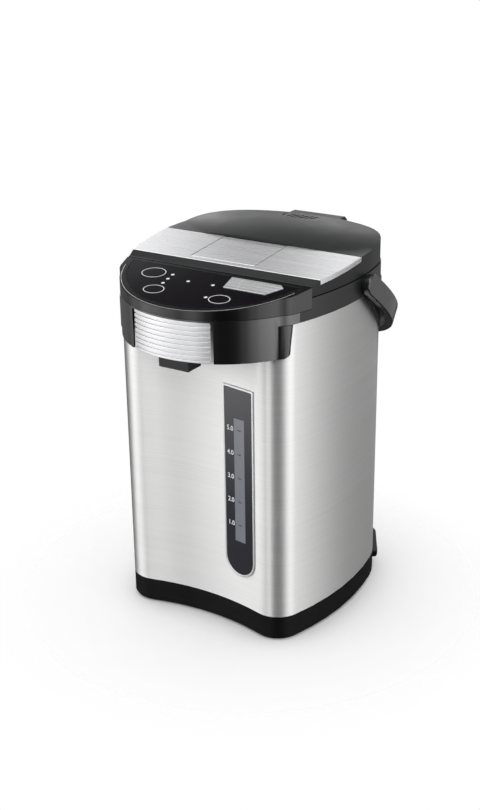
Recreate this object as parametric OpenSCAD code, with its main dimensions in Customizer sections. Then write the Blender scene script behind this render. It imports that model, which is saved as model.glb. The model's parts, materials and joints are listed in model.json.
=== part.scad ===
// Electric thermo pot: a steel-clad vacuum-style hot water dispenser with a pump, a hinged lid,
// a sloping control panel over the spout, a water gauge and a swinging carry handle.
// Origin: centre of the base on the table. +Z is up, -Y is the front with the spout, +X the right side.

/* [Body] */
// Width across the sides at the widest
body_w = 238; // [232:1:244]
// Distance from the axis forward to the middle of the front face
front_d = 85; // [83:1:88]
// Distance from the axis back to the rear face
rear_d = 142; // [140:1:150]
// Height of the black base
base_h = 28; // [25:1:34]
// Height of the steel wall between base and collar
steel_h = 320; // [300:1:340]
// Thickness of the steel sheet
steel_t = 1; // [0.8:0.1:1.2]
// Thickness of the plastic walls
wall_t = 2.5; // [2:0.1:3]

/* [Collar and head] */
// Height of the collar between the steel and the lid
collar_h = 22; // [18:1:28]
// Radius of the round head over the spout
head_r = 107; // [104:1:110]
// Distance from the axis forward to the centre of the head's curve
head_c = 39; // [36:1:42]
// How far the head's skirt hangs below the collar
skirt_drop = 33; // [26:1:40]
// Height of the gloss skirt's top edge above the collar's lower edge
skirt_top = 10; // [8:1:12]
// Slope of the control panel
panel_tilt = 8.5; // [6:0.5:10]
// How far the collar hangs down at the rear
rear_drop = 56; // [45:1:65]

/* [Lid] */
// Height of the lid's rim above the collar at the rear
lid_h = 23; // [21:1:28]
// Rise of the dome above the rim
dome_rise = 7; // [5:0.5:9]
// Width of the steam vent
vent_w = 44; // [36:1:48]
// Length of the hinge cover along the hinge
tab_w = 64; // [60:1:72]

/* [Vessel] */
// Outer radius of the water container
vessel_r = 107; // [104:1:108]
// Height of the container's floor above the table
vessel_z = 90; // [84:1:94]
// Thickness of the container's wall
vessel_t = 0.8; // [0.6:0.1:1]
// Radius of the filling mouth at its foot
mouth_r = 84; // [78:1:86]

/* [Gauge] */
// Width of the gauge frame
gauge_w = 41; // [38:1:44]
// Height of the gauge frame
gauge_h = 213; // [190:1:225]
// Distance of the gauge to the right of the spout
gauge_x = 45; // [42:1:48]
// Height of the gauge's lower end above the table
gauge_z = 63; // [58:1:70]

/* [Handle] */
// Width of the handle's strap
strap_w = 22; // [18:1:24]
// Thickness of the handle's strap
strap_t = 8; // [7:1:10]
// Reach of the handle from its pivots
handle_reach = 165; // [163:1:175]
// Clearance between the body's sides and the handle's arms
arm_clear = 2; // [1.5:0.5:5]
// Angle that the stowed handle hangs below level
stow_angle = 35; // [33:1:38]
// Radius of the handle's pivot pins
pivot_r = 5; // [4:0.5:6]

/* [Spout] */
// Width of the nozzle block
nozzle_w = 35; // [30:1:40]
// How far the nozzle stands below the skirt
nozzle_drop = 14; // [10:1:18]
// Width of the ribbed spout cover
cover_w = 88; // [80:1:92]
// Number of ribs on the spout cover
cover_ribs = 9; // [7:1:11]

/* [Fits] */
// Clearance between neighbouring pieces that move or clip together
gap = 0.3; // [0.25:0.05:0.4]
// Visible gap between the lid and the pieces round it
lid_gap = 0.8; // [0.5:0.1:1.2]
// Radial clearance of turning pins
pin_gap = 0.05; // [0.03:0.01:0.08]
// Travel of the round panel buttons
button_travel = 0.8; // [0.5:0.1:1]
// Travel of the dispense plate
dispense_travel = 2; // [1:0.1:2.5]

/* [Hidden] */

// Heights above the table
collar_z = base_h + steel_h;
part_z = collar_z + collar_h;
skirt_z = collar_z - skirt_drop;
seam_z = collar_z + skirt_top;
rim_z = part_z + lid_h;
crest_z = rim_z + dome_rise;

// Body outline: circles for the hollow front, the corners, the sides and the rear
side_r = 290;
front_r = 260;
corner_r = 28;
rear_corner_r = 75;
rear_r = 185;
widest_y = 18;
side_c = [body_w/2 - side_r, widest_y];
front_c = [0, -(front_d + front_r)];
rear_c = [0, rear_d - rear_r];

// The point left of the line from a to b where two circles about a and b meet
function meet(a, ra, b, rb) =
    let (d = norm(b - a), u = (b - a)/d, k = (ra*ra - rb*rb + d*d)/(2*d), h = sqrt(ra*ra - k*k))
    a + u*k + h*[-u[1], u[0]];
function heading(from, to) = atan2(to[1] - from[1], to[0] - from[0]);
function arc(c, r, a0, a1, n) =
    [for (i = [0 : n]) let (a = a0 + (a1 - a0)*i/n) c + r*[cos(a), sin(a)]];

corner_c = meet(side_c, side_r - corner_r, front_c, front_r + corner_r);
rear_corner_c = meet(side_c, side_r - rear_corner_r, rear_c, rear_r - rear_corner_r);
front_a = heading(front_c, corner_c);
corner_a = heading(side_c, corner_c);
side_a = heading(side_c, rear_corner_c);
rear_a = heading(rear_c, rear_corner_c);

// Right half of the outline, moved inwards by inset
function half_plan(inset) = concat(
    arc(front_c, front_r + inset, 90, front_a, 5),
    arc(corner_c, corner_r - inset, front_a - 180, corner_a, 7),
    arc(side_c, side_r - inset, corner_a, side_a, 6),
    arc(rear_corner_c, rear_corner_r - inset, side_a, rear_a, 7),
    arc(rear_c, rear_r - inset, rear_a, 90, 3));
function tidy(p) = [for (i = [0 : len(p) - 1]) if (i == 0 || norm(p[i] - p[i - 1]) > 0.01) p[i]];
function plan(inset) =
    let (h = tidy(half_plan(inset)), n = len(h))
    concat(h, [for (i = [n - 2 : -1 : 1]) [-h[i][0], h[i][1]]]);

// An oval with half axes a and b, its corners worked out by angle
function oval(a, b, n = 32) = [for (i = [0 : n - 1]) [a*cos(360*i/n), b*sin(360*i/n)]];

// Collar and head
proud = 0.6;                 // the collar stands this much proud of the steel
housing_front_y = -57;       // the lid's front edge
head_side_y = -72;           // rear end of the gloss skirt at the sides
crest_y = -70;               // the panel's slope is set here
crest_rise = 29.5;           // height of the panel's crest plane at crest_y above the collar
panel_rim = 6;               // width of the rim round the control panel
panel_back = 4;              // width of the rim behind the control panel
panel_t = 2;
deck_t = 2.3;
vessel_y = 29;               // the container's axis lies behind the body's
mouth_y = 36;                // the filling mouth's axis
mouth_top_r = mouth_r + 4;
deck_z = part_z - lid_gap;

// Pivots
handle_half_w = body_w/2 + arm_clear + strap_t;
pivot_y = 36;
pivot_z = part_z - 10;
pivot_boss_r = 12.5;
hinge_y = rear_d + 8;
hinge_z = part_z + 10;
hinge_r = 2;
hinge_len = tab_w - 8;

// Lid
band_front_y = -44;
band_rear_y = 28;
band_front_z = part_z + 14;
band_rear_z = part_z + 20;
band_t = 1.5;
band_skirt = 5;
lever_x = -6;
lever_w = 76;
lever_front_y = -36;
latch_w = 40;
lid_plan = 0.4;              // the lid stands this far inside the steel's outline
lid_front_y = housing_front_y + lid_gap;
lid_top_t = 3;
band_tilt = atan((band_rear_z - band_front_z)/(band_rear_y - band_front_y));
rear_tilt = atan((rim_z - band_rear_z)/(rear_d - band_rear_y));
dome_side_r = 870;
dome_len_r = 250;
dome_y = 85;
vent_y = 112;
vent_l = 24;

// Gauge
gauge_t = 3;
gauge_face_y = -(front_d + 1.6);
gauge_slot = 4;              // the slot in the steel is this much smaller all round
window_x = 1;                // the window's middle, right of the gauge's
window_w = 14;
window_z = gauge_z + gauge_w;
window_h = 138;
sight_r = 4;
sight_x = gauge_x + 2;
sight_y = -front_d + 8;

// Works in the base
foot_z = 1;
floor_t = 3;
cover_r = 80;
cover_flange = 10;           // the cover's flange rests this far out on the base's floor
cover_top = foot_z + floor_t + 2;
cover_screw_r = 85.5;
pump_x = -42;
pump_y = 30;
motor_r = 19;
motor_h = 13;
housing_r = 24;
housing_h = 14;
shaft_r = 2;
inlet_angle = 45;
inlet_z = (foot_z + floor_t + base_h)/2;
inlet_r = 10;
inlet_base = rear_corner_c + (rear_corner_r)*[cos(inlet_angle), sin(inlet_angle)];

module prism(points, z0, z1) {
    translate([0, 0, z0]) linear_extrude(z1 - z0) polygon(points);
}
module slab(y0, y1, z0, z1) {
    reach = 200;
    translate([-reach, y0, z0]) cube([2*reach, y1 - y0, z1 - z0]);
}
// Everything in front of y
module front_half(y, z0, z1) { slab(-300, y, z0, z1); }

// The crest plane of the panel becomes the plane z = 0
module on_panel() {
    translate([0, crest_y, collar_z + crest_rise]) rotate([panel_tilt, 0, 0]) children();
}
module head_disc(inset, z0, z1) {
    translate([0, -head_c, z0]) cylinder(r = head_r - inset, h = z1 - z0, $fn = 120);
}
// Outline of head and collar together, in front of y
module head_block(inset, y, z0, z1) {
    intersection() {
        union() {
            head_disc(inset, z0, z1);
            prism(plan(inset - proud), z0, z1);
        }
        front_half(y, z0, z1);
    }
}

module base_shell() {
    arch_w = 118;
    arch_h = 5;
    arch_r = arch_w*arch_w/8/arch_h + arch_h/2;
    arch_depth = 2.4;
    lip = 6;
    color("#1b1b1c") difference() {
        union() {
            prism(plan(0), foot_z + 3, base_h);
            prism(plan(2), foot_z, foot_z + 3);
            prism(plan(steel_t + gap), base_h, base_h + lip);
        }
        // round hole through the rear right wall for the inlet
        inlet_frame() translate([0, 0, -20]) cylinder(r = inlet_r + gap, h = 40, $fn = 48);
        prism(plan(steel_t + gap + wall_t), foot_z + floor_t, base_h + lip + 1);
        // shallow arch under the front edge, between the two front corners
        difference() {
            translate([0, -60, arch_h - arch_r]) rotate([90, 0, 0]) cylinder(r = arch_r, h = 60, $fn = 200);
            prism(plan(arch_depth), 0, 2*arch_h);
        }
        // opening for the bottom cover
        translate([0, vessel_y, 0]) cylinder(r = cover_r + gap, h = 12, $fn = 96);
        screw_holes(2, 0, 12);
        screw_holes(3.6, 0, foot_z + 2.2);
    }
}

module bottom_cover() {
    color("#232324") difference() {
        union() {
            translate([0, vessel_y, 0]) cylinder(r = cover_r, h = foot_z + floor_t, $fn = 96);
            translate([0, vessel_y, foot_z + floor_t])
                cylinder(r = cover_r + cover_flange, h = cover_top - foot_z - floor_t, $fn = 96);
            screw_holes(4, cover_top, cover_top + 6);
        }
        screw_holes(1.85, 0, 20);
        // cooling slots in front of the works
        for (i = [-3 : 3])
            translate([i*9 - 2, vessel_y - 64, -1]) cube([4, 30, 12]);
    }
}
// Four upright cylinders on the bottom cover's screw circle
module screw_holes(r, z0, z1) {
    for (a = [45 : 90 : 315])
        translate([0, vessel_y, z0]) rotate([0, 0, a]) translate([cover_screw_r, 0, 0])
            cylinder(r = r, h = z1 - z0, $fn = 24);
}

module rubber_feet() {
    foot_r = 9;
    rear_foot = rear_corner_c + (rear_corner_r - 2*foot_r)*[cos(23), sin(23)];
    color("#101010") for (p = [corner_c, rear_foot]) for (s = [-1, 1])
        translate([s*p[0], p[1], 0]) cylinder(r = foot_r, h = foot_z, $fn = 48);
}

module bottom_screws() {
    color("#8a8c8e") {
        screw_holes(3.2, foot_z + 0.3, foot_z + 2.2);
        screw_holes(1.8, foot_z + 2.2, cover_top + 5);
    }
}

module outer_shell() {
    color("#b9bbbd") difference() {
        prism(plan(0), base_h, collar_z);
        prism(plan(steel_t), base_h - 1, collar_z + 1);
        // slot behind the gauge
        gauge_outline(gauge_slot, -front_d - 20, -front_d + 10);
    }
}

// Collar with the deck, the filling mouth, the hinge lugs and the handle's bosses
module upper_housing() {
    throat_z = collar_z + 4;
    color("#2b2c2d") difference() {
        union() {
            difference() {
                prism(plan(-proud), collar_z, deck_z);
                prism(plan(wall_t), collar_z - 1, deck_z - wall_t);
                front_half(head_side_y + gap, 0, 2*collar_z);
                front_half(housing_front_y, seam_z, 2*collar_z);
            }
            // throat of the filling mouth, standing on the container's rim
            translate([0, mouth_y, throat_z])
                cylinder(r1 = mouth_r + 2, r2 = mouth_top_r + 2, h = deck_z - throat_z - 0.5, $fn = 96);
            translate([0, vessel_y, throat_z]) cylinder(r = vessel_r, h = 2.5, $fn = 96);
            rear_skirt();
            hinge_lugs();
            // bosses for the handle
            for (s = [-1, 1])
                translate([s*(body_w/2 - 6), pivot_y, pivot_z]) rotate([0, s*90, 0])
                    cylinder(r = deck_z - pivot_z, h = handle_half_w - strap_t - body_w/2 + 6 - gap, $fn = 48);
        }
        translate([0, mouth_y, throat_z - 0.01])
            cylinder(r1 = mouth_r, r2 = mouth_top_r, h = deck_z - throat_z + 0.02, $fn = 96);
        // blind bores for the handle pins
        for (s = [-1, 1])
            translate([s*(body_w/2 - 4), pivot_y, pivot_z]) rotate([0, s*90, 0])
                cylinder(r = pivot_r, h = 40, $fn = 48);
        translate([-hinge_len/2 - 1, hinge_y, hinge_z]) rotate([0, 90, 0])
            cylinder(r = hinge_r, h = hinge_len + 2, $fn = 32);
    }
}
// Frame round the control panel, on top of the gloss skirt
module panel_frame() {
    top = 60;
    color("#2b2c2d") difference() {
        head_block(0, housing_front_y, seam_z + gap, seam_z + top);
        on_panel() slab(-200, 200, 0, top);
        difference() {
            head_block(wall_t, housing_front_y - wall_t, seam_z, seam_z + top);
            on_panel() slab(-200, 200, -panel_t - deck_t, top);
        }
        // recess for the panel and the holes below it
        on_panel() {
            panel_outline(panel_rim, -panel_t, top);
            button_ovals(gap, -top, top);
            dispense_prism(-gap, -top, top);
            for (p = light_points) translate([p[0], p[1], -20]) cylinder(r = 2.2, h = 40, $fn = 24);
        }
    }
}
// Skirt that sweeps down round the rear, outside the steel
module rear_skirt() {
    sweep_y0 = pivot_y - 4;
    sweep_y1 = 104;
    steps = 8;
    edge = [for (i = [0 : steps])
        [sweep_y0 + (sweep_y1 - sweep_y0)*i/steps, collar_z - rear_drop*(1 - cos(180*i/steps))/2]];
    keep = concat(edge, [[rear_d + 20, collar_z - rear_drop], [rear_d + 20, collar_z + 3],
        [sweep_y0, collar_z + 3]]);
    intersection() {
        difference() {
            prism(plan(-1.6), collar_z - rear_drop, collar_z + 3);
            prism(plan(0), collar_z - rear_drop - 1, collar_z + 4);
        }
        rotate([90, 0, 90]) translate([0, 0, -160]) linear_extrude(320) polygon(keep);
    }
}
module hinge_lugs() {
    lug_t = 5;
    lug_r = 5.5;
    lug_x = hinge_len/2 - lug_t;
    foot = [[hinge_y - 12, deck_z - 9], [rear_d + 1.5, deck_z - 9], [rear_d + 1.5, deck_z - 3],
        [hinge_y + lug_r*cos(20), hinge_z - lug_r*sin(20)], [hinge_y - lug_r, hinge_z],
        [hinge_y - 12, deck_z - 1]];
    for (x = [-lug_x - lug_t, lug_x]) {
        translate([x, hinge_y, hinge_z]) rotate([0, 90, 0]) cylinder(r = lug_r, h = lug_t, $fn = 32);
        translate([x, 0, 0]) rotate([90, 0, 90]) linear_extrude(lug_t) polygon(foot);
    }
}
// The control panel's outline as a prism between two heights over the crest plane
module panel_outline(rim, z0, z1) {
    intersection() {
        translate([0, -head_c - crest_y, z0]) cylinder(r = head_r - rim, h = z1 - z0, $fn = 120);
        translate([-150, -150, z0]) cube([300, 150 + housing_front_y - crest_y - panel_back - rim + 6, z1 - z0]);
    }
}

// Buttons on the panel: centre and half axes, in the panel's plane
reboil_pos = [-59, -11];
temperature_pos = [-36, -44];
unlock_pos = [38.5, -41];
big_oval = [14.4, 12.2];
small_oval = [12.4, 10.2];
light_points = [[-38, -8], [-37, -18], [-36, -28], [-14, -16], [14.5, -15], [23, -41]];
module oval_at(pos, half, grow, z0, z1) {
    translate([pos[0], pos[1], 0]) prism(oval(half[0] + grow, half[1] + grow), z0, z1);
}
module button_ovals(grow, z0, z1) {
    oval_at(reboil_pos, big_oval, grow, z0, z1);
    oval_at(temperature_pos, small_oval, grow, z0, z1);
    oval_at(unlock_pos, small_oval, grow, z0, z1);
}
module dispense_prism(inset, z0, z1) {
    d = inset;
    prism([[23 + d, 7 - d], [27 + d, -16 + d], [74 - d, -16 + d], [84 - d, 2], [79 - d, 7 - d]], z0, z1);
}

// Spout: the nozzle's middle and rear face
nozzle_y = -121;
nozzle_back_y = -113;
nozzle_top_z = collar_z - 2.5;
hose_r = 3.9;
shelf_back_y = -104.5;
cover_h = 41;

module head_cover() {
    window_half = cover_w/2 + 3;
    shelf_half = 60;
    skirt_half = 92;
    color("#0c0c0d") difference() {
        union() {
            // skirt in front of the steel
            difference() {
                head_disc(0, skirt_z, collar_z);
                prism(plan(-gap), skirt_z - 1, collar_z + 1);
                intersection() {
                    head_disc(wall_t, skirt_z - 1, collar_z + 1);
                    translate([-skirt_half, -300, skirt_z - 2]) cube([2*skirt_half, 300, skirt_drop + 4]);
                }
                slab(head_side_y, 300, skirt_z - 1, collar_z + 1);
            }
            skirt_wings();
            // upper band up to the seam
            difference() {
                head_block(0, head_side_y, collar_z, seam_z);
                head_block(wall_t, head_side_y + 1, collar_z - 1, seam_z + 1);
            }
            // shelf that carries the nozzle
            intersection() {
                head_disc(wall_t/2, collar_z - 4, collar_z - 1);
                translate([-shelf_half, -300, collar_z - 4]) cube([2*shelf_half, 300 + shelf_back_y, 3]);
            }
        }
        // window for the ribbed cover
        translate([-window_half, -300, skirt_z - 1])
            cube([2*window_half, 300 + nozzle_back_y, cover_h + 1 + gap]);
    }
}

// The skirt's ends lie round the body's front corners, with a rounded lower edge
module skirt_wings() {
    wing_in = 88;
    wing_top = 102;
    wing_low = 100.5;
    edge_r = 4;
    wing_end_y = -60;
    edge = concat([[wing_in, collar_z], [wing_in, skirt_z]], arc([wing_low - edge_r, skirt_z + edge_r], edge_r, 270, 360, 6),
        [[wing_top, collar_z]]);
    for (s = [0, 1]) mirror([s, 0, 0]) intersection() {
        difference() {
            prism(plan(-2), skirt_z, collar_z);
            prism(plan(-gap), skirt_z - 1, collar_z + 1);
        }
        translate([0, wing_end_y, 0]) rotate([90, 0, 0]) linear_extrude(60) polygon(edge);
    }
}

module ribbed_cover() {
    z0 = skirt_z;
    z1 = skirt_z + cover_h;
    back_y = -127;
    rib = (z1 - z0)/(cover_ribs - 0.6);
    color("#c9cbce") difference() {
        union() {
            intersection() {
                head_disc(2.2, z0, z1);
                translate([-cover_w/2, -300, z0]) cube([cover_w, 300 + back_y, z1 - z0]);
            }
            // ribs across the front; the lowest and the highest are cut by the cover's edges
            for (i = [0 : cover_ribs - 1])
                intersection() {
                    head_disc(0.6, z0 + (i - 0.25)*rib, z0 + (i + 0.47)*rib);
                    translate([-cover_w/2, -300, z0]) cube([cover_w, 300 + back_y, z1 - z0]);
                }
        }
        translate([0, -head_c, z0 - 1]) cylinder(r = head_r - 6, h = z1 - z0 - 3, $fn = 120);
    }
}

module spout_nozzle() {
    front_y = -135;
    block_h = 26;
    floor_z = skirt_z - nozzle_drop;
    color("#151516") difference() {
        union() {
            translate([-nozzle_w/2, front_y, floor_z]) cube([nozzle_w, nozzle_back_y - front_y, block_h]);
            translate([-nozzle_w/2, nozzle_y - 4, floor_z])
                cube([nozzle_w, nozzle_back_y - nozzle_y + 4, nozzle_top_z - floor_z]);
        }
        // water way and its wide mouth
        translate([0, nozzle_y, floor_z - 1]) cylinder(r = 3, h = 80, $fn = 32);
        translate([0, nozzle_y, nozzle_top_z - 6]) cylinder(r = hose_r + 0.05, h = 10, $fn = 32);
        translate([0, nozzle_y - 3, floor_z - 1]) cylinder(r = 7, h = 4, $fn = 32);
    }
}

// A tube through a list of points, with square elbow blocks at the bends
module tube(points, r) {
    for (i = [0 : len(points) - 2]) {
        v = points[i + 1] - points[i];
        translate(points[i]) rotate([0, acos(v[2]/norm(v)), atan2(v[1], v[0])])
            cylinder(r = r, h = norm(v), $fn = 32);
        if (i > 0) translate(points[i]) cube(2*r + 1, center = true);
    }
}

module outlet_hose() {
    run_z = collar_z + 4;
    run_y = -110;
    color("#d8d4c8") tube([[0, nozzle_y, nozzle_top_z - 6], [0, nozzle_y, run_z], [0, run_y, run_z],
        [sight_x, run_y, run_z], [sight_x, sight_y, run_z], [sight_x, sight_y, collar_z - 34]], hose_r);
}

module control_panel() {
    color("#16121c") on_panel() difference() {
        panel_outline(panel_rim + gap, -panel_t, -gap);
        button_ovals(gap, -10, 10);
        dispense_prism(-gap, -10, 10);
        for (p = light_points) translate([p[0], p[1], -10]) cylinder(r = 1.8 + pin_gap, h = 20, $fn = 24);
    }
}

// Circuit board under the panel, with the button switches and standoffs
board_drop = 12.5;
module panel_board() {
    board_t = 1.6;
    color("#1f5c36") on_panel() {
        difference() {
            intersection() {
                translate([-78, -56, -board_drop - board_t]) cube([166, 64, board_t]);
                translate([0, -head_c - crest_y, -board_drop - board_t])
                    cylinder(r = head_r - wall_t - 3, h = board_t, $fn = 120);
            }
            // room for the outlet hose
            translate([-20, -57, -board_drop - 5]) cube([40, 24, 10]);
        }
        for (p = [reboil_pos, temperature_pos, unlock_pos])
            translate([p[0] - 3, p[1] - 3, -board_drop]) cube([6, 6, 2.5]);
        translate([47, -8, -board_drop]) cube([6, 6, 2.5]);
        for (p = [[-74, 4], [78, -26]])
            translate([p[0], p[1], -board_drop]) cylinder(r = 2.5, h = board_drop - panel_t - deck_t - gap, $fn = 24);
    }
}

module indicator_lights() {
    color("#e8e0d0") on_panel() for (p = light_points)
        translate([p[0], p[1], -board_drop]) cylinder(r = 1.8, h = board_drop - gap + 0.1, $fn = 24);
}

// A button: its cap shows in the panel, its stem ends just above its switch
module oval_button(pos, half) {
    stem_end = -board_drop + 2.5 + button_travel + 0.2;
    on_panel() {
        oval_at(pos, half, 0, -panel_t - deck_t - 1, 0.2);
        translate([pos[0], pos[1], stem_end]) cylinder(r = 2.4, h = -stem_end - panel_t, $fn = 24);
    }
}
module reboil_button() { color("#17131d") oval_button(reboil_pos, big_oval); }
module temperature_button() { color("#17131d") oval_button(temperature_pos, small_oval); }
module unlock_button() { color("#17131d") oval_button(unlock_pos, small_oval); }
module dispense_plate() {
    stem_end = -board_drop + 2.5 + dispense_travel + 0.2;
    color("#bfc1c4") on_panel() {
        dispense_prism(0, -panel_t - deck_t - 1, 0.4);
        translate([50, -5, stem_end]) cylinder(r = 2.4, h = -stem_end - panel_t, $fn = 24);
    }
}

// The gauge lies on the hollow front, turned to face along its curve
module on_gauge() {
    translate([0, front_c[1], 0]) rotate([0, 0, -asin(gauge_x/front_r)]) translate([0, -front_c[1], 0]) children();
}
// Gauge outline seen from the front: square above, round below
module gauge_outline(inset, y0, y1) {
    half = gauge_w/2 - inset;
    on_gauge() translate([0, y1, 0]) rotate([90, 0, 0]) linear_extrude(y1 - y0) polygon(concat(
        [[half, gauge_z + gauge_h - inset], [-half, gauge_z + gauge_h - inset]],
        arc([0, gauge_z + gauge_w/2], half, 180, 360, 18)));
}
module gauge_frame() {
    color("#a9acb2") difference() {
        gauge_outline(0, gauge_face_y - 0.6, -front_d + 2);
        gauge_outline(2.2, gauge_face_y - 5, -front_d + 10);
        prism(plan(-0.05), gauge_z - 5, gauge_z + gauge_h + 5);
    }
}
module gauge_panel() {
    color("#4b4b50") difference() {
        gauge_outline(2.4, gauge_face_y, gauge_face_y + gauge_t);
        on_gauge() translate([window_x - window_w/2, -front_d - 20, window_z]) cube([window_w, 40, window_h]);
        // the steel under its edge
        difference() {
            prism(plan(-0.05), gauge_z - 5, gauge_z + gauge_h + 5);
            gauge_outline(gauge_slot + gap, -front_d - 20, -front_d + 10);
        }
    }
}
module gauge_window() {
    color("#8f9299") on_gauge() translate([window_x - window_w/2 + 0.1, gauge_face_y, window_z + 0.1])
        cube([window_w - 0.2, 1.6, window_h - 0.2]);
}
module sight_tube() {
    color("#cfd6da") difference() {
        translate([sight_x, sight_y, vessel_z - 14]) cylinder(r = sight_r, h = collar_z - 34 - vessel_z + 14, $fn = 32);
        translate([sight_x, sight_y, vessel_z - 15]) cylinder(r = sight_r - 1, h = collar_z, $fn = 32);
    }
}

module water_container() {
    flange_w = 3;
    top_z = collar_z + 4;
    color("#9c9fa2") difference() {
        union() {
            translate([0, vessel_y, vessel_z]) cylinder(r = vessel_r, h = top_z - vessel_z, $fn = 96);
            translate([0, vessel_y, top_z - 2]) cylinder(r = vessel_r + flange_w - 1, h = 2, $fn = 96);
        }
        translate([0, vessel_y, vessel_z + vessel_t]) cylinder(r = vessel_r - vessel_t, h = 400, $fn = 96);
        // drain to the pump
        translate([pump_x, pump_y, vessel_z - 1]) cylinder(r = 4, h = 4, $fn = 32);
    }
}
// Hooks that hold the container's flange to the housing
module container_clamps() {
    color("#7d7f82") for (a = [60, 180, 300])
        translate([0, vessel_y, 0]) rotate([0, 0, a]) translate([vessel_r + 0.5, -6, collar_z])
            cube([6, 12, 2]);
}
module insulation_sleeve() {
    sleeve_t = 3;
    sleeve_z = vessel_z + 6;
    sleeve_h = collar_z - sleeve_z - 2;
    color("#d9d6cf") difference() {
        translate([0, vessel_y, sleeve_z]) cylinder(r = vessel_r + sleeve_t, h = sleeve_h, $fn = 96);
        translate([0, vessel_y, sleeve_z - 1]) cylinder(r = vessel_r + 0.1, h = sleeve_h + 2, $fn = 96);
    }
}
module heater_plate() {
    color("#b4a58c") difference() {
        translate([0, vessel_y, vessel_z - 4]) cylinder(r = 78, h = 4, $fn = 96);
        translate([pump_x, pump_y, vessel_z - 5]) cylinder(r = 14, h = 8, $fn = 32);
    }
}
module heater_clamp() {
    color("#8c8e90") difference() {
        translate([0, vessel_y, vessel_z - 6]) cylinder(r = 70, h = 2, $fn = 96);
        translate([0, vessel_y, vessel_z - 7]) cylinder(r = 58, h = 4, $fn = 96);
    }
}
module thermostats() {
    color("#d8d8d4") for (p = [[20, 6], [34, 40]])
        translate([p[0], p[1] + vessel_y - 20, vessel_z - 10]) cylinder(r = 8, h = 6, $fn = 32);
}

// Pump: the motor turns a magnet disc, which drives the impeller through the housing's wall
module pump_motor() {
    color("#6f7275") {
        translate([pump_x, pump_y, cover_top]) cylinder(r = motor_r, h = motor_h, $fn = 48);
        translate([pump_x, pump_y, cover_top + motor_h]) cylinder(r = shaft_r, h = 4, $fn = 24);
    }
}
module magnet_disc() {
    disc_z = cover_top + motor_h + 0.6;
    color("#3b3d40") difference() {
        translate([pump_x, pump_y, disc_z]) cylinder(r = 15, h = 4, $fn = 48);
        translate([pump_x, pump_y, disc_z - 1]) cylinder(r = shaft_r + pin_gap, h = 6, $fn = 24);
    }
}
pump_floor = cover_top + motor_h + 6;
// Outlet stub of the pump, pointing at the foot of the sight tube
stub_at = [pump_x + 10, pump_y - 16, pump_floor + housing_h/2];
stub_turn = 90 + heading(stub_at, [sight_x, sight_y]);
stub_l = 18;
module pump_housing() {
    cavity_r = housing_r - 2.5;
    color("#e4dfd2") difference() {
        union() {
            translate([pump_x, pump_y, pump_floor]) cylinder(r = housing_r, h = housing_h, $fn = 64);
            for (a = [30 : 120 : 270])
                translate([pump_x + (housing_r + 2)*cos(a), pump_y + (housing_r + 2)*sin(a), cover_top])
                    cylinder(r = 3.5, h = pump_floor + housing_h - cover_top, $fn = 24);
            // outlet stub towards the gauge
            translate(stub_at) rotate([90, 0, stub_turn]) cylinder(r = 4, h = stub_l, $fn = 32);
        }
        translate([pump_x, pump_y, pump_floor + 1.2]) cylinder(r = cavity_r, h = housing_h, $fn = 64);
        translate(stub_at) rotate([90, 0, stub_turn]) cylinder(r = 2.6, h = 2*stub_l, $fn = 32);
    }
    // fixed axle of the impeller
    color("#e4dfd2") translate([pump_x, pump_y, pump_floor + 1]) cylinder(r = 1.5, h = 9, $fn = 24);
}
module impeller() {
    blades = 6;
    hub_z = pump_floor + 1.6;
    color("#cfcac0") difference() {
        translate([pump_x, pump_y, hub_z]) {
            cylinder(r = 18, h = 2, $fn = 48);
            cylinder(r = 5, h = 8, $fn = 32);
            for (i = [0 : blades - 1]) rotate([0, 0, i*360/blades])
                translate([3, -0.75, 1]) cube([14, 1.5, 7]);
        }
        translate([pump_x, pump_y, hub_z - 1]) cylinder(r = 1.5 + pin_gap, h = 12, $fn = 24);
    }
}
module pump_cover() {
    lid_z = pump_floor + housing_h;
    color("#e4dfd2") difference() {
        union() {
            translate([pump_x, pump_y, lid_z]) cylinder(r = housing_r, h = 2.5, $fn = 64);
            translate([pump_x, pump_y, lid_z]) cylinder(r = 6, h = vessel_z - lid_z - 8, $fn = 32);
        }
        translate([pump_x, pump_y, lid_z - 1]) cylinder(r = 4, h = 30, $fn = 32);
    }
}
module inlet_hose() {
    hose_z = vessel_z - 14;
    color("#d8d4c8") difference() {
        translate([pump_x, pump_y, hose_z]) cylinder(r = 8, h = vessel_z - hose_z, $fn = 32);
        translate([pump_x, pump_y, hose_z - 1]) cylinder(r = 6 + pin_gap, h = 7, $fn = 32);
        translate([pump_x, pump_y, hose_z]) cylinder(r = 4, h = 20, $fn = 32);
    }
}
module delivery_hose() {
    start = stub_at + stub_l*[sin(stub_turn), -cos(stub_turn), 0];
    color("#d8d4c8") tube([start, [sight_x, sight_y, start[2]], [sight_x, sight_y, vessel_z - 14]], 4.3);
}

// Mains board on four pillars of the bottom cover
board_at = [4, 20, cover_top + 4];
board_size = [62, 50, 1.6];
board_holes = [for (x = [4, board_size[0] - 4]) for (y = [4, board_size[1] - 4]) [x, y]];
module power_board() {
    top = board_at + [0, 0, board_size[2]];
    color("#1f5c36") translate(board_at) cube(board_size);
    color("#c9a227") translate(top + [34, 10, 0]) cube([22, 20, 18]);
    color("#202022") translate(top + [8, 8, 0]) cube([16, 18, 14]);
    color("#30507a") for (i = [0 : 2]) translate(top + [16 + i*13, 40, 0]) cylinder(r = 5, h = 14, $fn = 24);
    color("#e4dfd2") for (p = board_holes)
        translate([board_at[0] + p[0], board_at[1] + p[1], cover_top])
            cylinder(r = 3, h = board_at[2] - cover_top, $fn = 24);
}
module board_screws() {
    color("#8a8c8e") for (p = board_holes)
        translate(board_at + [p[0], p[1], board_size[2]]) cylinder(r = 2.6, h = 1.6, $fn = 24);
}

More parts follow.
